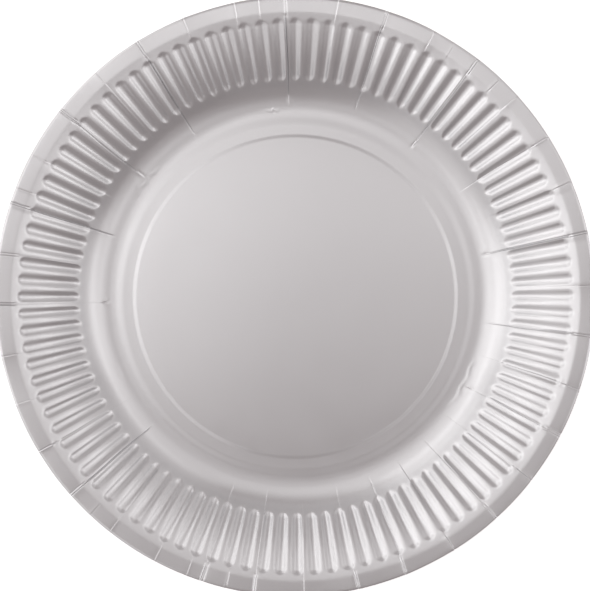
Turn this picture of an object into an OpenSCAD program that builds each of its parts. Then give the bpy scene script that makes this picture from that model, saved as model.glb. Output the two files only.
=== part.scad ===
// A round disposable plate, pressed from one disc of silver-faced paperboard.
// The board is one sheet of even thickness: a raised centre panel that bulges a little, a
// fine step and a soft step down to a foot ring, an S-shaped wall, and a flat lip. Short
// blunt-ended flutes are pressed into the wall, and they show as ridges from below.

/* [Sheet] */
// Outer diameter of the plate
plate_d = 230; // [195:1:320]
// Thickness of the board
board_t = 0.4; // [0.3:0.05:0.8]

/* [Rim] */
// Width of the flat lip
lip_w = 4.6; // [3:0.1:12]
// Radius of the bend from the wall into the lip
shoulder_r = 6; // [5:0.2:18]
// Slope of the wall where the bend into the lip takes over, in degrees
shoulder_slope = 15; // [6:1:20]

/* [Wall] */
// Level distance from the foot ring to the lip
wall_w = 39.5; // [32:0.1:48]
// Steepest slope of the wall, in degrees
wall_slope = 44; // [36:1:52]
// Radius of the bend from the foot ring into the wall
foot_bend_r = 16; // [10:0.5:20]

/* [Base] */
// Width of the level ring that the plate stands on
foot_ring_w = 0.8; // [0.6:0.1:4]
// Width of the soft step inside the foot ring
soft_step_w = 4; // [3:0.1:8]
// Rise of the soft step
soft_step_h = 0.4; // [0.2:0.05:0.8]
// Width of the level shelf between the two steps
shelf_w = 3; // [1:0.1:6]
// Width of the fine step around the centre panel
panel_step_w = 2; // [1.2:0.1:4]
// Rise of the fine step
panel_step_h = 0.4; // [0.15:0.05:0.6]
// Bulge of the panel, from its edge up to its middle
panel_crown = 1.2; // [0:0.1:2]

/* [Flutes] */
// Number of flutes around the wall
flute_n = 100; // [60:1:104]
// Width of a flute's mouth at its high end, near the lip
flute_high_w = 4.4; // [3.4:0.1:4.6]
// Width of a flute's mouth at its low end, near the foot
flute_low_w = 3.5; // [3:0.1:3.6]
// Depth of a flute below the wall
flute_depth = 0.85; // [0.4:0.05:1.2]
// Slope of a flute's flanks, in degrees
flute_flank = 42; // [42:1:60]
// Width of the blunt tip at each end of a flute
flute_tip_w = 1.9; // [1:0.1:2.4]
// Length of the ramp at each end of a flute
flute_ramp_l = 1.4; // [0.8:0.1:2.5]
// Distance along the wall from its steepest place to the flutes' low tips
flute_low_gap = 2.1; // [0.5:0.1:6]
// Distance along the wall from the flutes' high tips to the bend into the lip
flute_high_gap = 2; // [0.2:0.1:6]
// Turn of the first flute from the X axis, in degrees
flute_turn = 0.15; // [0:0.05:3.6]

/* [Hidden] */

// The section is drawn in the plane of one radius, as [distance from the axis, height]
half_t = board_t / 2;

// Radii of the section's corners, from the rim inwards
rim_r = plate_d / 2;
lip_in_r = rim_r - lip_w;
foot_out_r = lip_in_r - wall_w;
foot_in_r = foot_out_r - foot_ring_w;
shelf_out_r = foot_in_r - soft_step_w;
shelf_in_r = shelf_out_r - shelf_w;
panel_r = shelf_in_r - panel_step_w;

// Heights of the middle of the board
foot_z = half_t;
shelf_z = foot_z + soft_step_h;
panel_z = shelf_z + panel_step_h;
crown_z = panel_z + panel_crown;

// The wall is three bends, each starting where the last one ends and at its slope
foot_bend_c = [foot_out_r, foot_z + foot_bend_r];
wall_low = foot_bend_c + foot_bend_r * [sin(wall_slope), -cos(wall_slope)];
wall_high_r = lip_in_r - shoulder_r * sin(shoulder_slope);
wall_r = (wall_high_r - wall_low[0]) / (sin(wall_slope) - sin(shoulder_slope));
wall_c = wall_low + wall_r * [sin(wall_slope), -cos(wall_slope)];
lip_z = wall_c[1] + (wall_r - shoulder_r) * cos(shoulder_slope) + shoulder_r;

// Where the flutes start and end, as slopes of the wall there
low_tip = wall_slope - arc_turn(flute_low_gap);
high_tip = shoulder_slope + arc_turn(flute_high_gap);
low_end = low_tip - arc_turn(flute_ramp_l);
high_end = high_tip + arc_turn(flute_ramp_l);

// On the underside each flute is wider and longer, so that the board stays as thick
flank_skirt = board_t * tan(flute_flank / 2);
ramp_skirt = arc_turn(board_t * tan(atan(flute_depth / flute_ramp_l) / 2));

// Steps along the bend at the foot and along the full depth of a flute
foot_steps = 2;
flute_steps = 3;

pitch = 360 / flute_n;

// Angle in degrees that a length along the wall takes up on the wall's bend
function arc_turn(length) = length / wall_r * 180 / PI;

// Point of the section on a level stretch; side is 1 on the upper face and -1 below
function on_level(r, z, side) = [r, z + side * half_t];

// Point of the section on the bend at the foot, where the board has the given slope
function on_foot_bend(slope, side) =
    foot_bend_c + (foot_bend_r - side * half_t) * [sin(slope), -cos(slope)];

// Point of the section on the wall, sunk by a depth
function on_wall(slope, side, depth = 0) =
    wall_c + (wall_r + side * half_t - depth) * [-sin(slope), cos(slope)];

// Turns a point of the section around the axis
function turned(p, angle) = [p[0] * cos(angle), p[0] * sin(angle), p[1]];

// Angle that a distance across the board takes up, seen from the axis
function across(width, p) = width / p[0] * 180 / PI;

// Middle of flute k, and of the ridge before it
function flute_angle(k) = flute_turn + k * pitch;
function ridge_angle(k) = flute_angle(k) - pitch / 2;

// Ring with one point on each ridge
function plain_ring(p) = [for (k = [0 : flute_n - 1]) turned(p, ridge_angle(k))];

// Ring through the blunt tips of the flutes, with two points on each
function tip_ring(slope, side) =
    let (p = on_wall(slope, side), half = across(flute_tip_w / 2, p))
    [for (k = [0 : flute_n - 1], s = [-1, 1]) turned(p, flute_angle(k) + s * half)];

// Half the width of a flute's mouth where the wall has the given slope
function mouth_half(slope, side) =
    let (share = (slope - high_tip) / (low_tip - high_tip))
    (flute_high_w + (flute_low_w - flute_high_w) * share) / 2 + (side < 0 ? flank_skirt : 0);

// Ring across the full depth of the flutes: two mouth edges and two floor edges on each
function flute_ring(slope, side) =
    let (
        edge = on_wall(slope, side),
        floor_p = on_wall(slope, side, flute_depth),
        mouth = mouth_half(slope, side),
        flat = mouth - flute_depth / tan(flute_flank),
        out = across(mouth, edge),
        in = across(flat, floor_p)
    )
    [
        for (k = [0 : flute_n - 1])
            each [
                turned(edge, flute_angle(k) - out),
                turned(floor_p, flute_angle(k) - in),
                turned(floor_p, flute_angle(k) + in),
                turned(edge, flute_angle(k) + out)
            ]
    ];

// Slopes from one value to another in equal steps
function slopes(from, to, steps) = [for (i = [0 : steps]) from + (to - from) * i / steps];

// Every ring of one face of the board, from the middle of the panel, which is one point, to
// the rim
function rings(side) =
    let (skirt = side < 0 ? ramp_skirt : 0)
    [
        [turned(on_level(0, crown_z, side), 0)],
        plain_ring(on_level(panel_r, panel_z, side)),
        plain_ring(on_level(shelf_in_r, shelf_z, side)),
        plain_ring(on_level(shelf_out_r, shelf_z, side)),
        plain_ring(on_level(foot_in_r, foot_z, side)),
        for (slope = slopes(0, low_tip * foot_steps / (foot_steps + 1), foot_steps))
            plain_ring(on_foot_bend(slope, side)),
        tip_ring(low_tip + skirt, side),
        for (slope = slopes(low_end + skirt, high_end - skirt, flute_steps))
            flute_ring(slope, side),
        tip_ring(high_tip - skirt, side),
        plain_ring(on_level(lip_in_r, lip_z, side)),
        plain_ring(on_level(rim_r, lip_z, side))
    ];

// Number of a ring's first point in the list of all points
function first_point(ring_list, i, start) =
    i == 0 ? start : first_point(ring_list, i - 1, start) + len(ring_list[i - 1]);

// Faces that cover one pitch between two rings, as steps along the inner and outer ring.
// The key is the number of points that each ring has in one pitch.
function pitch_faces(inner, outer) =
    inner == 1 && outer == 1 ? [[[0, 1], [1, 0]]] :
    inner == 1 && outer == 2 ? [[[0, 1], [1, 0]], [[1], [2, 1]]] :
    inner == 2 && outer == 1 ? [[[0, 1], [1, 0]], [[1, 2], [1]]] :
    inner == 2 && outer == 4 ? [[[0], [1, 0]], [[0, 1], [2, 1]], [[1], [3, 2]], [[1, 2], [4, 3]]] :
    inner == 4 && outer == 2 ? [[[0, 1], [0]], [[1, 2], [1, 0]], [[2, 3], [1]], [[3, 4], [2, 1]]] :
    [for (i = [0 : 3]) [[i, i + 1], [i + 1, i]]];

// Band of triangles between two rings, clockwise seen from above
function band(inner_ring, inner_start, outer_ring, outer_start) =
    let (a = len(inner_ring), b = len(outer_ring), a_pitch = a / flute_n, b_pitch = b / flute_n)
    [
        for (k = [0 : flute_n - 1], f = pitch_faces(a_pitch, b_pitch))
            each triangles(concat(
                [for (i = f[0]) inner_start + (k * a_pitch + i) % a],
                [for (i = f[1]) outer_start + (k * b_pitch + i) % b]
            ))
    ];

// Splits a face into triangles that share its first point
function triangles(face) = [for (i = [1 : len(face) - 2]) [face[0], face[i], face[i + 1]]];

// Same faces seen from the other side
function flipped(faces) = [for (f = faces) [f[2], f[1], f[0]]];

// Fan of triangles from the middle of one face to its first ring, clockwise seen from above
function fan(middle) = [for (k = [0 : flute_n - 1]) [middle, middle + 1 + (k + 1) % flute_n, middle + 1 + k]];

// All bands of one face of the board, and its panel
function face_bands(ring_list, start) =
    concat(
        fan(start),
        [
            for (i = [1 : len(ring_list) - 2])
                each band(
                    ring_list[i], first_point(ring_list, i, start),
                    ring_list[i + 1], first_point(ring_list, i + 1, start)
                )
        ]
    );

// Points of a list of rings, in one list
function points_of(ring_list) = [for (ring = ring_list, p = ring) p];

module plate() {
    upper = rings(1);
    lower = rings(-1);
    upper_points = points_of(upper);
    lower_points = points_of(lower);
    lower_start = len(upper_points);
    last = len(upper) - 1;
    rim_edge = band(
        upper[last], first_point(upper, last, 0),
        lower[last], first_point(lower, last, lower_start)
    );
    color("silver")
        polyhedron(
            points = concat(upper_points, lower_points),
            faces = concat(
                face_bands(upper, 0),
                flipped(face_bands(lower, lower_start)),
                rim_edge
            )
        );
}

plate();
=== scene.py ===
"""Silver paperboard plate, dressed over the CAD part, in a white studio seen from straight above."""

import bpy
import math
import numpy as np
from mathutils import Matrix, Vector


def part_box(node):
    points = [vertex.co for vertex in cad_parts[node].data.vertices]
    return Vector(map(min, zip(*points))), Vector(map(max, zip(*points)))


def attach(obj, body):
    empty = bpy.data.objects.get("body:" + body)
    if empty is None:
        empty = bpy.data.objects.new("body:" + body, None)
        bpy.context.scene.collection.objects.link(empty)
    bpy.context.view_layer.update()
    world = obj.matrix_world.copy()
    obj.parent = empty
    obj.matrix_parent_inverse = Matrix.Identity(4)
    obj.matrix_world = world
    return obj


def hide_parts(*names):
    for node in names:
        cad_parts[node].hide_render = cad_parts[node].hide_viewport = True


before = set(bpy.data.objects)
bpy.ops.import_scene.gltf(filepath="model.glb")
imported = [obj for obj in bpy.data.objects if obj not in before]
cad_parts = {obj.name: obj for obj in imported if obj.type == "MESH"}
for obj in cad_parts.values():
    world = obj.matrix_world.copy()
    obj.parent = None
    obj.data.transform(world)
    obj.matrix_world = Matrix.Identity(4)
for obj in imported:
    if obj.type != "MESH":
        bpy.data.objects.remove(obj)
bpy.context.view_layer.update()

# Units: shapes are worked out in millimetres and degrees, and go to metres at the end
MM = 0.001
DEG = math.pi / 180

# The rim comes from the frame
plate_low, plate_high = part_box("plate")
RIM_R = (plate_high.x - plate_low.x) / 2 / MM

# Section of the board: the CAD part's sheet, with its fine step 0.05 mm higher
BOARD_T = 0.4
LIP_W = 4.6
SHOULDER_R = 6.0
SHOULDER_SLOPE = 15.0
WALL_W = 39.5
WALL_SLOPE = 44.0
FOOT_BEND_R = 16.0
FOOT_RING_W = 0.8
SOFT_STEP_W = 4.0
SOFT_STEP_H = 0.4
SHELF_W = 3.0
PANEL_STEP_W = 2.0
PANEL_STEP_H = 0.45
PANEL_CROWN = 1.2

# Radius and height, from the rim inwards, of the middle of the board
HALF_T = BOARD_T / 2
LIP_R = RIM_R - LIP_W
FOOT_R = LIP_R - WALL_W
SOFT_OUT_R = FOOT_R - FOOT_RING_W
SOFT_IN_R = SOFT_OUT_R - SOFT_STEP_W
FINE_OUT_R = SOFT_IN_R - SHELF_W
FINE_IN_R = FINE_OUT_R - PANEL_STEP_W
SHELF_Z = HALF_T + SOFT_STEP_H
PANEL_Z = SHELF_Z + PANEL_STEP_H

# The wall: a hollow bend at the foot, then a long bend back towards level
WALL_SIN, WALL_COS = math.sin(WALL_SLOPE * DEG), math.cos(WALL_SLOPE * DEG)
SHOULDER_SIN, SHOULDER_COS = math.sin(SHOULDER_SLOPE * DEG), math.cos(SHOULDER_SLOPE * DEG)
FOOT_BEND_C = (FOOT_R, HALF_T + FOOT_BEND_R)
WALL_LOW_R = FOOT_R + FOOT_BEND_R * WALL_SIN
WALL_LOW_Z = HALF_T + FOOT_BEND_R * (1 - WALL_COS)
SHOULDER_LOW_R = LIP_R - SHOULDER_R * SHOULDER_SIN
WALL_R = (SHOULDER_LOW_R - WALL_LOW_R) / (WALL_SIN - SHOULDER_SIN)
WALL_C = (WALL_LOW_R + WALL_R * WALL_SIN, WALL_LOW_Z - WALL_R * WALL_COS)
LIP_Z = WALL_C[1] + (WALL_R - SHOULDER_R) * SHOULDER_COS + SHOULDER_R
SHOULDER_C = (LIP_R, LIP_Z - SHOULDER_R)

# The lip rises a little towards the rim, and its last millimetre is crushed down
LIP_SLOPE = 3.8
CURL_W = 1.0
CURL_R = 0.7
CURL_SLOPE = 28.0
LIP_SIN, LIP_COS = math.sin(LIP_SLOPE * DEG), math.cos(LIP_SLOPE * DEG)
LIP_IN_R = LIP_R - SHOULDER_R * LIP_SIN
LIP_IN_Z = SHOULDER_C[1] + SHOULDER_R * LIP_COS
CURL_IN_R = RIM_R - CURL_W
CURL_IN_Z = LIP_IN_Z + (CURL_IN_R - LIP_IN_R) * math.tan(LIP_SLOPE * DEG)
CURL_C = (CURL_IN_R + CURL_R * LIP_SIN, CURL_IN_Z - CURL_R * LIP_COS)

# Flutes pressed into the wall: round-ended grooves, each a fixed share of a turn wide
FLUTE_N = 100
FLUTE_PITCH = 360 / FLUTE_N
FLUTE_TURN = 0.19
FLUTE_HALF = 1.2
FLUTE_EDGE = 0.16
FLUTE_DEPTH = 0.85
FLUTE_LOW_TAPER = 2.0
FLUTE_HIGH_TAPER = 1.1
FLUTE_IN_R = 83.3
FLUTE_OUT_R = 106.9
FLUTE_PLAY = 0.05

# Length along the wall for each millimetre of radius, at a flute's low and high end
FLUTE_LOW_STRETCH = 1.3
FLUTE_HIGH_STRETCH = 1.05

# Takes off the faint tail that the easing of the edges leaves between the flutes
FLUTE_TRIM = 0.01

# Slow drift of the flutes round the plate: degrees of cosine and sine, once and twice a turn
FLUTE_DRIFT = (0.10, -0.13, -0.07, -0.11)

# The disc sat a little off the tool's centre, so the lip is wider on one side: how much it
# grows everywhere, towards +X and towards +Y
CUT_SHIFT = (0.1, -0.2, 0.2)

# Score lines, cut across the disc so that the rim can gather, and the few degrees they drift.
# The long ones come with their depth on the wall: shallow grooves catch the lamps, deep ones
# stay dark. All the others are short.
SCORE_N = 36
SCORE_PITCH = 360 / SCORE_N
SCORE_TURN = 1.93
SCORE_DRIFT = (0.45, 0.10)
LONG_SCORES = {
    1: 0.30, 3: 0.12, 5: 0.22, 7: 0.28, 9: 0.34, 12: 0.28, 14: 0.22,
    16: 0.24, 18: 0.05, 21: 0.10, 22: 0.28, 25: 0.06, 26: 0.12, 28: 0.06,
    29: 0.13, 30: 0.09, 31: 0.12, 32: 0.10, 33: 0.12, 34: 0.10, 35: 0.20,
}
DOUBLE_SCORES = (1, 5, 7, 9, 12, 16, 17, 18, 22, 26, 28, 29, 31, 35)
TRIPLE_SCORES = (14, 25, 33)
PUCKERED_SCORES = (1, 5, 9, 14, 18, 33)
LONG_SCORE_R = 73.0
SHORT_SCORE_R = 79.0

# How score lines differ, each as lowest and highest value in millimetres: where the inner end
# lies, the depth on the wall and on the lip, the step between both sides, the tuck's depth
INNER_END_RANGE = (-0.8, 3.0)
SHORT_WALL_DEPTH = (0.03, 0.06)
LONG_LIP_DEPTH = (0.13, 0.20)
SHORT_LIP_DEPTH = (0.06, 0.11)
STEP_RANGE = (0.03, 0.07)
TUCK_RANGE = (0.15, 0.25)
SHORT_STEP_SHARE = 0.4
SHORT_TUCK_SHARE = 0.3

# How far a score line strays from its place and from straight, in degrees, and the radii its
# bends are spread over
SCORE_STRAY = 0.08
SCORE_WAVE = 0.25
SCORE_MIDDLE_R = 95
SCORE_HALF_LENGTH = 20
BOW_LEVEL = 0.4
RIPPLE_SHARE = 0.3
RIPPLE_RATE = 5

# A score line fades in over its taper, and deepens on its way up the wall
SCORE_TAPER = 3.0
SCORE_FOOT_SHARE = 0.6
DEEPEN_R = 80
DEEPEN_W = 12

# Widths in millimetres: the blend from wall to lip, the step's fade, and how far a line reaches
LIP_BLEND_W = 1.5
STEP_FADE_W = 1.6
SCORE_REACH = 8
SECOND_GROOVE_SHARE = 0.5
RIDGE_SHARE = 0.4

# A tuck is a small dent where a score line crosses the shoulder, a pucker a small star where
# one begins
TUCK_PLACE = 1.1
TUCK_LENGTH = 0.5
TUCK_WIDTH = 1.0
PUCKER_PLACE = 1.0
PUCKER_R = 1.3
PUCKER_H = 0.20
PUCKER_POINTS = 3
PUCKER_TURN = 9
PUCKER_REACH = 6

# Columns of the mesh on each side of a score line, in degrees apart, and where its creases and
# then the ridges between them lie, in columns
SCORE_STEP = 0.12
SCORE_COLUMNS = 4
SINGLE = ((0,), (2,))
DOUBLE = ((-2, 2), (0,))
TRIPLE = ((-3, 0, 3), (1.5,))

# Short creases that cross only the lip, by angle
LIP_CREASES = (47, 57.5, 97, 158.8, 226.5, 248.5, 256.5)
LIP_CREASE_R = FLUTE_OUT_R - 0.5

# Small wrinkles across the foot of the wall: angle, half length in degrees, radius, height
FOOT_WRINKLES = (
    (97.0, 2.4, 72.5, 0.15),
    (142.5, 6.5, 73.0, 0.13),
    (203.0, 3.0, 74.0, 0.07),
    (333.0, 9.0, 73.2, 0.12),
)
WRINKLE_W = 0.45
WRINKLE_SWAY = 0.35
WRINKLE_RATE = 9
WRINKLE_EASE = 0.5

# The board between two score lines bows and tips by about this much, from the foot to the rim
SEGMENT_BOW = 0.10
SEGMENT_TIP = 0.06
SEGMENT_START_R = 76
SEGMENT_RUN = 34
SEGMENT_EASE = 0.1

# Rows of the mesh: lengths in millimetres and a slope in degrees where rows lie close together
FLUTE_END_L = 2.9
BEFORE_FLUTES = 0.4
FOOT_FINE_W = 3.0
PANEL_ROWS = 9
SHOULDER_ROWS = 4

# Columns of the mesh in degrees: kept clear of the score lines, merged when closer than the
# gap, and bent with a score line near it
COLUMN_CLEAR = 0.05
COLUMN_GAP = 0.03
BEND_NEAR = 0.5
BEND_FADE = 2.0

# Edges sharper than this stay sharp
SHARP_ANGLE = 45

# Each flute is a little different: depth and width
rng = np.random.default_rng(36)
flute_size = 1 + FLUTE_PLAY * rng.standard_normal((FLUTE_N, 2))


def smooth(x):
    """Eases from 0 to 1 as x goes from 0 to 1."""
    x = np.clip(x, 0, 1)
    return x * x * (3 - 2 * x)


def wrapped(degrees):
    """Degrees as a turn from -180 to 180."""
    return (degrees + 180) % 360 - 180


def tent(x, half):
    """A straight-sided ridge of height 1 and the given half width."""
    return np.clip(1 - np.abs(x) / half, 0, None)


# Section of the sheet


def step_rows(start_r, end_r, start_z, end_z, count):
    """Rows of the section down a soft step: radius, height and slope of each."""
    x = np.linspace(0, 1, count)
    width = end_r - start_r
    height = end_z - start_z
    rise = 6 * x * (1 - x) * height / width
    return np.stack([start_r + width * x, start_z + height * smooth(x), np.arctan(rise)], 1)


def bend_rows(centre, radius, slopes, hollow):
    """Rows of the section round a bend at the given slopes in degrees; hollow curves upwards."""
    s = np.asarray(slopes, float) * DEG
    side = 1 if hollow else -1
    out = centre[0] + side * radius * np.sin(s)
    up = centre[1] - side * radius * np.cos(s)
    return np.stack([out, up, s], 1)


def crown_rows(radii):
    """Rows of the centre panel, which bulges up a little."""
    share = radii / FINE_IN_R
    slope = -2 * PANEL_CROWN / FINE_IN_R * share
    return np.stack([radii, PANEL_Z + PANEL_CROWN * (1 - share ** 2), np.arctan(slope)], 1)


def wall_slope_at(radius):
    """Slope in degrees where the wall's long bend has the given radius from the axis."""
    return math.asin((WALL_C[0] - radius) / WALL_R) / DEG


def wall_slopes(end_rows, middle_rows):
    """Slopes of the wall's rows, close together at both ends of the flutes."""
    low, high = wall_slope_at(FLUTE_IN_R), wall_slope_at(FLUTE_OUT_R)
    end = FLUTE_END_L / WALL_R / DEG
    parts = [
        [low + BEFORE_FLUTES],
        np.linspace(low, low - end, end_rows),
        np.linspace(low - end, high + end, middle_rows)[1:-1],
        np.linspace(high + end, high, end_rows),
        [high * 0.7 + SHOULDER_SLOPE * 0.3, high * 0.3 + SHOULDER_SLOPE * 0.7],
    ]
    return np.concatenate(parts)


def foot_slopes(fine_rows, coarse_rows):
    """Slopes of the bend at the foot, close together where the score lines end."""
    fine = np.linspace(0, FOOT_FINE_W, fine_rows)
    coarse = np.linspace(FOOT_FINE_W, WALL_LOW_R - FOOT_R, coarse_rows)[1:]
    return np.arcsin(np.concatenate([fine, coarse]) / FOOT_BEND_R) / DEG


def lip_rows(count, curl_count):
    """Rows of the sloping lip and its crushed edge."""
    share = np.linspace(0, 1, count)[1:-1]
    flat = np.stack([
        LIP_IN_R + (CURL_IN_R - LIP_IN_R) * share,
        LIP_IN_Z + (CURL_IN_Z - LIP_IN_Z) * share,
        np.full_like(share, LIP_SLOPE * DEG),
    ], 1)
    curl = bend_rows(CURL_C, CURL_R, np.linspace(LIP_SLOPE, -CURL_SLOPE, curl_count), False)
    end_r = RIM_R - HALF_T * math.sin(CURL_SLOPE * DEG)
    end_z = curl[-1, 1] - (end_r - curl[-1, 0]) * math.tan(CURL_SLOPE * DEG)
    return np.concatenate([flat, curl, [[end_r, end_z, -CURL_SLOPE * DEG]]])


def inner_rows():
    """Rows of the section from beside the centre to the shelf."""
    return np.concatenate([
        crown_rows(np.linspace(0, FINE_IN_R, PANEL_ROWS)[1:-1]),
        step_rows(FINE_IN_R, FINE_OUT_R, PANEL_Z, SHELF_Z, PANEL_ROWS),
    ])


def outer_rows(step_count, foot, wall, lip):
    """Rows of the section from the soft step to the rim."""
    shoulder = np.linspace(SHOULDER_SLOPE, LIP_SLOPE, SHOULDER_ROWS)
    return np.concatenate([
        step_rows(SOFT_IN_R, SOFT_OUT_R, SHELF_Z, HALF_T, step_count),
        bend_rows(FOOT_BEND_C, FOOT_BEND_R, foot_slopes(*foot), True),
        bend_rows(WALL_C, WALL_R, wall_slopes(*wall), False),
        bend_rows(SHOULDER_C, SHOULDER_R, shoulder, False),
        lip_rows(*lip),
    ])


# Flutes


def flute_drift(angle):
    """How far the flutes have drifted from their even places, in degrees."""
    a = angle * DEG
    c1, s1, c2, s2 = FLUTE_DRIFT
    return c1 * np.cos(a) + s1 * np.sin(a) + c2 * np.cos(2 * a) + s2 * np.sin(2 * a)


def flute_sink(radius, angle):
    """How far the flutes sink the board below the wall: a round hollow, eased at its edges."""
    turn = (angle - FLUTE_TURN - flute_drift(angle)) / FLUTE_PITCH
    number = np.rint(turn).astype(int) % FLUTE_N
    off = (turn - np.rint(turn)) * FLUTE_PITCH
    depth, width = flute_size[number, 0], flute_size[number, 1]
    half = FLUTE_HALF * DEG * radius
    low = 1 - (radius - FLUTE_IN_R) * FLUTE_LOW_STRETCH / (half * FLUTE_LOW_TAPER)
    high = 1 - (FLUTE_OUT_R - radius) * FLUTE_HIGH_STRETCH / (half * FLUTE_HIGH_TAPER)
    past = np.clip(np.maximum(low, high), 0, None)
    hollow = 1 - (off / (FLUTE_HALF * width)) ** 2 - past ** 2
    eased = (hollow + np.hypot(hollow, FLUTE_EDGE)) / 2 - FLUTE_TRIM
    return FLUTE_DEPTH * depth * np.clip(eased, 0, None)


# Score lines and wrinkles


def score_line(angle, inner_r, wall_depth, pattern, puckered):
    """One score line: its angle, inner end, depths, and creases and ridges as degrees across it."""
    side = rng.choice((-1, 1))
    is_long = wall_depth > 0
    lip_depth = LONG_LIP_DEPTH if is_long else SHORT_LIP_DEPTH
    creases, ridges = pattern
    return {
        "angle": angle + SCORE_STRAY * rng.standard_normal(),
        "inner_r": inner_r + rng.uniform(*INNER_END_RANGE),
        "wall_depth": wall_depth if is_long else rng.uniform(*SHORT_WALL_DEPTH),
        "lip_depth": rng.uniform(*lip_depth),
        "step": rng.uniform(*STEP_RANGE) * side * (1 if is_long else SHORT_STEP_SHARE),
        "creases": [side * place * SCORE_STEP for place in creases],
        "ridges": [side * place * SCORE_STEP for place in ridges],
        "wave": rng.uniform(-SCORE_WAVE, SCORE_WAVE, 3),
        "tuck": rng.uniform(*TUCK_RANGE) * (1 if is_long else SHORT_TUCK_SHARE),
        "puckered": puckered,
    }


def score_lines():
    """Every score line round the plate, and the short creases of the lip."""
    lines = []
    for k in range(SCORE_N):
        turn = SCORE_TURN + k * SCORE_PITCH
        drift = SCORE_DRIFT[0] * math.cos(turn * DEG) + SCORE_DRIFT[1] * math.sin(turn * DEG)
        pattern = SINGLE
        if k in DOUBLE_SCORES:
            pattern = DOUBLE
        if k in TRIPLE_SCORES:
            pattern = TRIPLE
        wall_depth = LONG_SCORES.get(k, 0)
        inner_r = LONG_SCORE_R if wall_depth > 0 else SHORT_SCORE_R
        lines.append(score_line(turn + drift, inner_r, wall_depth, pattern, k in PUCKERED_SCORES))
    for angle in LIP_CREASES:
        lines.append(score_line(angle, LIP_CREASE_R, 0, SINGLE, False))
    return lines


SCORES = score_lines()
segment_shape = rng.standard_normal((SCORE_N, 2)) * (SEGMENT_BOW, SEGMENT_TIP)


def score_bend(score, radius):
    """How far a score line strays from its radius, in degrees: a lean, a bow and a ripple."""
    x = (radius - SCORE_MIDDLE_R) / SCORE_HALF_LENGTH
    lean, bow, ripple = score["wave"]
    return lean * x + bow * (x * x - BOW_LEVEL) + RIPPLE_SHARE * ripple * np.sin(RIPPLE_RATE * x)


def groove_relief(score, off, across, lip):
    """A score line's step, its grooves on the wall, and its creases and ridges on the lip."""
    on_wall = (1 - lip) * score["wall_depth"]
    on_lip = lip * score["lip_depth"]
    line = score["step"] * np.sign(off) * np.exp(-np.abs(across) / STEP_FADE_W)
    line = line - on_wall * tent(off, SCORE_STEP)
    if len(score["creases"]) > 1:
        line = line - SECOND_GROOVE_SHARE * on_wall * tent(off - 2 * SCORE_STEP, SCORE_STEP)
    for place in score["creases"]:
        line = line - on_lip * tent(off - place, SCORE_STEP)
    for place in score["ridges"]:
        line = line + RIDGE_SHARE * on_lip * tent(off - place, 2 * SCORE_STEP)
    return line


def tuck_depth(score, radius, across):
    """Depth of the small dent where a score line crosses the shoulder."""
    along = (radius - FLUTE_OUT_R - TUCK_PLACE) / TUCK_LENGTH
    return score["tuck"] * np.exp(-(along ** 2) - (across / TUCK_WIDTH) ** 2)


def pucker_relief(score, across, along):
    """A small star of creases where a score line begins."""
    out = along - PUCKER_PLACE
    spread = np.hypot(across, out)
    star = np.cos(PUCKER_POINTS * np.arctan2(across, out) + score["wave"][0] * PUCKER_TURN)
    height = PUCKER_H * np.exp(-((spread / PUCKER_R) ** 2)) * star
    return np.where(np.abs(across) < PUCKER_REACH, height, 0)


def score_relief(radius, angle):
    """Height that the score lines add to the board, in millimetres."""
    relief = np.zeros_like(angle)
    lip = smooth((radius - FLUTE_OUT_R) / LIP_BLEND_W)
    deepening = SCORE_FOOT_SHARE + (1 - SCORE_FOOT_SHARE) * smooth((radius - DEEPEN_R) / DEEPEN_W)
    for score in SCORES:
        off = wrapped(angle - score["angle"] - score_bend(score, radius))
        across = off * DEG * radius
        along = radius - score["inner_r"]
        line = groove_relief(score, off, across, lip) - tuck_depth(score, radius, across)
        fade = smooth(along / SCORE_TAPER) * deepening
        if score["puckered"]:
            relief += pucker_relief(score, across, along)
        relief += np.where(np.abs(across) < SCORE_REACH, fade * line, 0)
    return relief


def wrinkle_relief(radius, angle):
    """Height of the small wrinkles across the foot of the wall."""
    relief = np.zeros_like(angle)
    for middle, half, place, height in FOOT_WRINKLES:
        off = wrapped(angle - middle) / half
        sway = np.sin(WRINKLE_RATE * off + middle) * WRINKLE_SWAY
        across = (radius - place - sway) / WRINKLE_W
        relief += height * np.exp(-(across ** 2)) * smooth((1 - np.abs(off)) / WRINKLE_EASE)
    return relief


def segment_relief(radius, angle):
    """The board between two score lines tips a little, most at the rim."""
    turn = (angle - SCORE_TURN) / SCORE_PITCH
    number = np.floor(turn).astype(int) % SCORE_N
    x = turn - np.floor(turn) - 0.5
    share = smooth((radius - SEGMENT_START_R) / SEGMENT_RUN)
    bow = segment_shape[number, 0] * (0.25 - x * x) * 4
    tip = segment_shape[number, 1] * x * 2
    return share * (bow + tip) * smooth((0.5 - np.abs(x)) / SEGMENT_EASE)


def cut_shift(radius, angle):
    """How far the lip's radius grows where the disc was cut off the tool's centre."""
    a = angle * DEG
    grown = CUT_SHIFT[0] + CUT_SHIFT[1] * np.cos(a) + CUT_SHIFT[2] * np.sin(a)
    return np.clip((radius - LIP_R) / LIP_W, 0, 1) * grown


# Mesh of the sheet


def column_angles(per_flute, score_offsets):
    """Angles of the mesh's columns: a set for each flute, and close sets along each score line."""
    places = [k + share for k in range(FLUTE_N) for share in per_flute]
    even = np.array([FLUTE_TURN + place * FLUTE_PITCH for place in places])
    base = list(even + flute_drift(even))
    close = [s["angle"] + off for s in SCORES for off in score_offsets]
    if close:
        base = [a for a in base if min(abs(wrapped(a - c)) for c in close) > COLUMN_CLEAR]
    angles = np.sort(np.array(base + close) % 360)
    gap = np.diff(angles, append=angles[0] + 360)
    return angles[gap > COLUMN_GAP]


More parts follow.
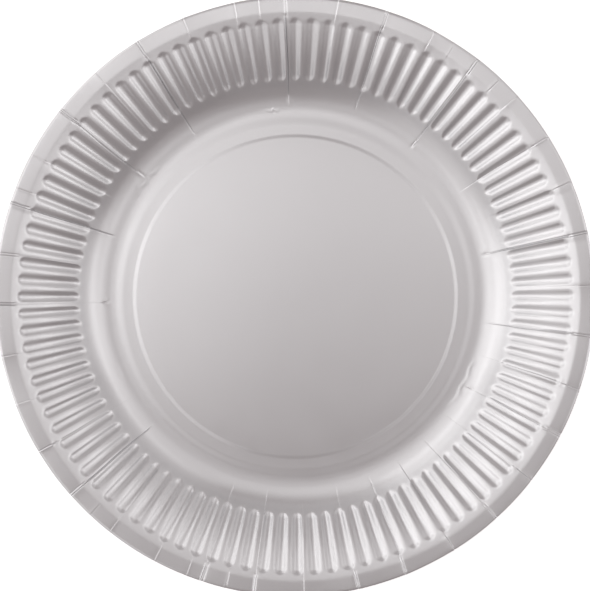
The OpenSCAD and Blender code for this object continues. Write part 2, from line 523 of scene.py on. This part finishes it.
def bent_columns(angles, radii):
    """The columns of every row, pulled along with the score lines next to them."""
    grid = np.tile(angles, (len(radii), 1))
    r = np.asarray(radii)[:, None]
    shift = np.zeros_like(grid)
    for score in SCORES:
        off = np.abs(wrapped(angles - score["angle"]))[None, :]
        shift += score_bend(score, r) * (1 - smooth((off - BEND_NEAR) / BEND_FADE))
    return grid + shift


def face_points(rows, angles, side, scored):
    """Points of one face of the board on a grid of rows and angles."""
    r, z, slope = (rows[:, i][:, None] for i in range(3))
    rise = side * HALF_T - flute_sink(r, angles) + segment_relief(r, angles)
    if scored:
        rise = rise + score_relief(r, angles) + wrinkle_relief(r, angles)
    out = r - rise * np.sin(slope) + cut_shift(r, angles)
    up = z + rise * np.cos(slope)
    a = angles * DEG
    return np.stack([out * np.cos(a), out * np.sin(a), np.broadcast_to(up, a.shape)], -1)


class SheetMesh:
    """Points and faces of the sheet, gathered ring by ring."""

    def __init__(self):
        """Starts with no points and no faces."""
        self.points = []
        self.faces = []
        self.slots = []
        self.count = 0

    def ring(self, points, angles):
        """Adds a ring of points. Returns their numbers and angles."""
        start = self.count
        self.points.append(points)
        self.count += len(points)
        return np.arange(start, self.count), np.asarray(angles) % 360

    def face(self, corners, slot, flip):
        """Adds one face with its material slot, turned over if asked."""
        self.faces.append(corners[::-1] if flip else corners)
        self.slots.append(slot)

    def band(self, inner, outer, slot, flip=False):
        """Faces between two rings: squares where they match, or triangles that walk round both."""
        a, b = inner[0], outer[0]
        if len(a) == len(b):
            n = len(a)
            for k in range(n):
                m = (k + 1) % n
                self.face((a[k], b[k], b[m], a[m]), slot, flip)
            return
        i = j = 0
        start_a, start_b = inner[1], outer[1]
        while i < len(a) or j < len(b):
            next_a = start_a[i + 1] if i + 1 < len(a) else 360 + start_a[0]
            next_b = start_b[j + 1] if j + 1 < len(b) else 360 + start_b[0]
            if j < len(b) and (i >= len(a) or next_b <= next_a):
                self.face((a[i % len(a)], b[j], b[(j + 1) % len(b)]), slot, flip)
                j += 1
            else:
                self.face((a[i], b[j % len(b)], a[(i + 1) % len(a)]), slot, flip)
                i += 1

    def disc(self, centre, ring, slot, flip=False):
        """Closes a ring with triangles that meet at the centre."""
        middle = self.ring(np.array([centre]), [0])[0][0]
        ids = ring[0]
        for k in range(len(ids)):
            self.face((middle, ids[k], ids[(k + 1) % len(ids)]), slot, flip)

    def built(self, name):
        """The gathered points and faces as a smooth Blender mesh, in metres."""
        mesh = bpy.data.meshes.new(name)
        points = np.concatenate(self.points) * MM
        faces = [tuple(int(i) for i in corners) for corners in self.faces]
        mesh.from_pydata(points.tolist(), [], faces)
        mesh.polygons.foreach_set("use_smooth", np.ones(len(mesh.polygons), bool))
        mesh.polygons.foreach_set("material_index", np.array(self.slots, np.int32))
        mesh.set_sharp_from_angle(angle=SHARP_ANGLE * DEG)
        mesh.update()
        return mesh


FACE, BACK = 0, 1


def add_side(sheet, side, rows, angles, inner_count, slot):
    """One face of the board from the centre to the rim. Returns its last ring."""
    flip = side < 0
    coarse = np.arange(inner_count) * 360 / inner_count
    last = None
    for row in inner_rows():
        points = face_points(row[None, :], coarse[None, :], side, False)[0]
        ring = sheet.ring(points, coarse)
        if last is None:
            sheet.disc((0, 0, PANEL_Z + PANEL_CROWN + side * HALF_T), ring, slot, flip)
        else:
            sheet.band(last, ring, slot, flip)
        last = ring
    columns = bent_columns(angles, rows[:, 0])
    for row_points in face_points(rows, columns, side, side > 0):
        ring = sheet.ring(row_points, angles)
        sheet.band(last, ring, slot, flip)
        last = ring
    return last


def make_plate():
    """The whole plate: one sheet with a silver face, a plain back and a cut edge."""
    sheet = SheetMesh()
    top_shares = (0, 0.09, 0.17, 0.25, 0.34, 0.5, -0.34, -0.25, -0.17, -0.09)
    back_shares = (0, 0.2, 0.36, -0.36, -0.2)
    beside_scores = [i * SCORE_STEP for i in range(-SCORE_COLUMNS, SCORE_COLUMNS + 1)]
    top_columns = column_angles(top_shares, beside_scores)
    back_columns = column_angles(back_shares, ())
    top_rows = outer_rows(step_count=8, foot=(7, 8), wall=(9, 5), lip=(4, 4))
    back_rows = outer_rows(step_count=4, foot=(2, 5), wall=(6, 4), lip=(3, 2))
    top = add_side(sheet, 1, top_rows, top_columns, inner_count=240, slot=FACE)
    back = add_side(sheet, -1, back_rows, back_columns, inner_count=120, slot=BACK)
    sheet.band(top, back, BACK)
    plate = bpy.data.objects.new("plate_sheet", sheet.built("plate_sheet"))
    bpy.context.scene.collection.objects.link(plate)
    return plate


# Materials


def linear(hex_colour):
    """An sRGB hex colour as linear red, green, blue and 1."""
    parts = [int(hex_colour[i:i + 2], 16) / 255 for i in (1, 3, 5)]
    return [c / 12.92 if c <= 0.04045 else ((c + 0.055) / 1.055) ** 2.4 for c in parts] + [1]


def add_node(tree, kind, settings=None, links=None):
    """Adds a node with its settings, by property or socket, and its links, by socket."""
    node = tree.nodes.new(kind)
    for name, value in (settings or {}).items():
        if isinstance(name, str) and hasattr(node, name) and name not in node.inputs:
            setattr(node, name, value)
        else:
            node.inputs[name].default_value = value
    for name, source in (links or {}).items():
        tree.links.new(source, node.inputs[name])
    return node


def new_material(name):
    """An empty material. Returns it with its node tree and its output node."""
    material = bpy.data.materials.new(name)
    material.use_nodes = True
    tree = material.node_tree
    tree.nodes.clear()
    return material, tree, add_node(tree, "ShaderNodeOutputMaterial")


def add_noise(tree, size, detail):
    """Noise in the object's own space, with a grain of the given size in millimetres."""
    place = add_node(tree, "ShaderNodeTexCoord").outputs["Object"]
    settings = {"Scale": 1 / (size * MM), "Detail": detail}
    return add_node(tree, "ShaderNodeTexNoise", settings, {"Vector": place}).outputs["Fac"]


def add_grain(tree, height, strength, depth):
    """Fine relief from a height pattern, as deep as depth in millimetres."""
    settings = {"Strength": strength, "Distance": depth * MM}
    return add_node(tree, "ShaderNodeBump", settings, {"Height": height}).outputs["Normal"]


def metallised_paperboard():
    """Board with a thin metallised film: soft mirror sheen with the fibres just showing through."""
    material, tree, output = new_material("metallised_paperboard")
    fibre = add_noise(tree, size=0.9, detail=4.0)
    cloud = add_noise(tree, size=14, detail=3.0)
    rough = add_node(tree, "ShaderNodeMapRange", {"To Min": 0.29, "To Max": 0.35}, {"Value": cloud})
    grain = add_grain(tree, fibre, strength=0.35, depth=0.012)
    shader = add_node(
        tree,
        "ShaderNodeBsdfPrincipled",
        {"Base Color": linear("#CFCFD0"), "Metallic": 1.0},
        {"Roughness": rough.outputs["Result"], "Normal": grain},
    )
    tree.links.new(shader.outputs["BSDF"], output.inputs["Surface"])
    return material


def bare_paperboard():
    """Uncoated board of the back and the cut edge: matt, off-white, with short fibres."""
    material, tree, output = new_material("bare_paperboard")
    fibre = add_noise(tree, size=0.7, detail=6.0)
    tint = add_node(
        tree,
        "ShaderNodeMix",
        {"data_type": "RGBA", 6: linear("#DAD7D2"), 7: linear("#EBE9E5")},
        {0: fibre},
    )
    grain = add_grain(tree, fibre, strength=0.5, depth=0.03)
    shader = add_node(
        tree,
        "ShaderNodeBsdfPrincipled",
        {"Roughness": 0.85},
        {"Base Color": tint.outputs[2], "Normal": grain},
    )
    tree.links.new(shader.outputs["BSDF"], output.inputs["Surface"])
    return material


def white_paper_floor():
    """Plain white studio paper: white to the camera, and it keeps the plate's shadow."""
    material, tree, output = new_material("studio_paper")
    path = add_node(tree, "ShaderNodeLightPath")
    seen = path.outputs["Is Camera Ray"]
    for ray in ("Is Glossy Ray", "Is Transmission Ray"):
        either = {0: seen, 1: path.outputs[ray]}
        seen = add_node(tree, "ShaderNodeMath", {"operation": "MAXIMUM"}, either).outputs[0]
    glow = add_node(tree, "ShaderNodeMath", {"operation": "MULTIPLY", 1: 0.6}, {0: seen})
    paper = add_node(tree, "ShaderNodeBsdfDiffuse", {"Color": linear("#F2F2F2")})
    light = add_node(
        tree,
        "ShaderNodeEmission",
        {"Color": linear("#FFFFFF")},
        {"Strength": glow.outputs[0]},
    )
    both = {0: paper.outputs[0], 1: light.outputs[0]}
    lit_paper = add_node(tree, "ShaderNodeAddShader", None, both)
    tree.links.new(lit_paper.outputs[0], output.inputs["Surface"])
    return material


# Studio, in metres

FLOOR_HALF = 4.0
FLOOR_GAP = 0.0001
CAMERA_DISTANCE = 3.0

# The photograph's size, and the rim's radius and centre in it, in pixels
IMAGE_W, IMAGE_H = 590, 591
RIM_PX = 299.56
CENTRE_PX = (295.38, 296.69)

# The strengths in both tables below are the output of a least-squares fit, made by a separate
# program, to brightness read off the photograph

# Softboxes over the plate, facing down: place, width, depth and strength
OVERHEAD = {
    "top_left": (-0.15, 0.14, 0.32, 0.30, 0.20, 0.69),
    "top_right": (0.15, 0.14, 0.32, 0.30, 0.20, 0.57),
    "back_left": (-0.15, 0.355, 0.32, 0.30, 0.23, 0.30),
    "back_right": (0.15, 0.355, 0.32, 0.30, 0.23, 0.15),
    "over_middle": (0.0, 0.0, 0.28, 0.22, 0.11, 0.25),
}

# Rings of softboxes that face the plate's middle: tilt from overhead in degrees, width, height,
# and the strength at each bearing in degrees
RING_DISTANCE = 0.8
RINGS = {
    "high": (14, 0.18, 0.26, {0: 0.37, 180: 0.99, 270: 0.14}),
    "upper": (31, 0.36, 0.26, {
        0: 0.78, 135: 0.12, 180: 0.98, 225: 0.73, 270: 0.23, 315: 0.56,
    }),
    "middle": (53, 0.50, 0.32, {
        0: 1.14, 45: 0.55, 90: 0.12, 135: 0.99, 180: 1.44, 225: 0.66, 270: 0.15, 315: 0.29,
    }),
    "low": (78, 0.60, 0.36, {
        0: 0.66, 45: 0.52, 90: 0.42, 135: 1.2, 180: 1.39, 225: 0.61, 270: 0.17, 315: 0.1,
    }),
}


def make_floor():
    """A wide sheet of white paper just under the plate."""
    sides = ((-1, -1), (1, -1), (1, 1), (-1, 1))
    mesh = bpy.data.meshes.new("floor")
    mesh.from_pydata([(x * FLOOR_HALF, y * FLOOR_HALF, 0) for x, y in sides], [], [(0, 1, 2, 3)])
    floor = bpy.data.objects.new("floor", mesh)
    floor.location.z = plate_low.z - FLOOR_GAP
    floor.data.materials.append(white_paper_floor())
    bpy.context.scene.collection.objects.link(floor)


def make_camera():
    """Straight above the plate, framed so that the picture's edges just crop the rim."""
    px = RIM_R * MM / RIM_PX
    data = bpy.data.cameras.new("camera")
    data.lens = data.sensor_width * CAMERA_DISTANCE / (IMAGE_H * px)
    camera = bpy.data.objects.new("camera", data)
    camera.location = (
        (IMAGE_W / 2 - CENTRE_PX[0]) * px,
        (CENTRE_PX[1] - IMAGE_H / 2) * px,
        plate_high.z + CAMERA_DISTANCE,
    )
    bpy.context.scene.collection.objects.link(camera)
    bpy.context.scene.camera = camera


def make_softbox(name, place, turn, width, height, radiance):
    """A rectangular soft lamp, as bright as a white surface times radiance."""
    data = bpy.data.lights.new(name, "AREA")
    data.shape = "RECTANGLE"
    data.size, data.size_y = width, height
    data.energy = radiance * math.pi * width * height
    lamp = bpy.data.objects.new(name, data)
    lamp.location = place
    lamp.rotation_euler = turn
    lamp.visible_camera = False
    bpy.context.scene.collection.objects.link(lamp)


def make_lamps():
    """All the softboxes: those over the plate, then the rings."""
    for name, (x, y, z, width, depth, radiance) in OVERHEAD.items():
        make_softbox(name, (x, y, z), (0, 0, 0), width, depth, radiance)
    for ring, (tilt, width, height, strengths) in RINGS.items():
        out, up = math.sin(tilt * DEG), math.cos(tilt * DEG)
        for bearing, radiance in strengths.items():
            east, north = math.cos(bearing * DEG), math.sin(bearing * DEG)
            place = RING_DISTANCE * Vector((out * east, out * north, up))
            turn = (-place).to_track_quat("-Z", "Y").to_euler()
            make_softbox(ring + "_" + str(bearing), place, turn, width, height, radiance)


def make_world():
    """Dim, slightly pink light from the rest of the room."""
    world = bpy.data.worlds.new("studio")
    world.use_nodes = True
    tree = world.node_tree
    tree.nodes.clear()
    room = add_node(tree, "ShaderNodeBackground", {"Color": linear("#FFEDED"), "Strength": 0.27})
    add_node(tree, "ShaderNodeOutputWorld", None, {"Surface": room.outputs[0]})
    bpy.context.scene.world = world


def dress():
    """Puts the plate into its studio, under the camera and the lamps."""
    make_camera()
    plate = make_plate()
    plate.data.materials.append(metallised_paperboard())
    plate.data.materials.append(bare_paperboard())
    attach(plate, "root")
    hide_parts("plate")
    make_floor()
    make_world()
    make_lamps()
    bpy.context.scene.view_settings.view_transform = "Standard"


dress()
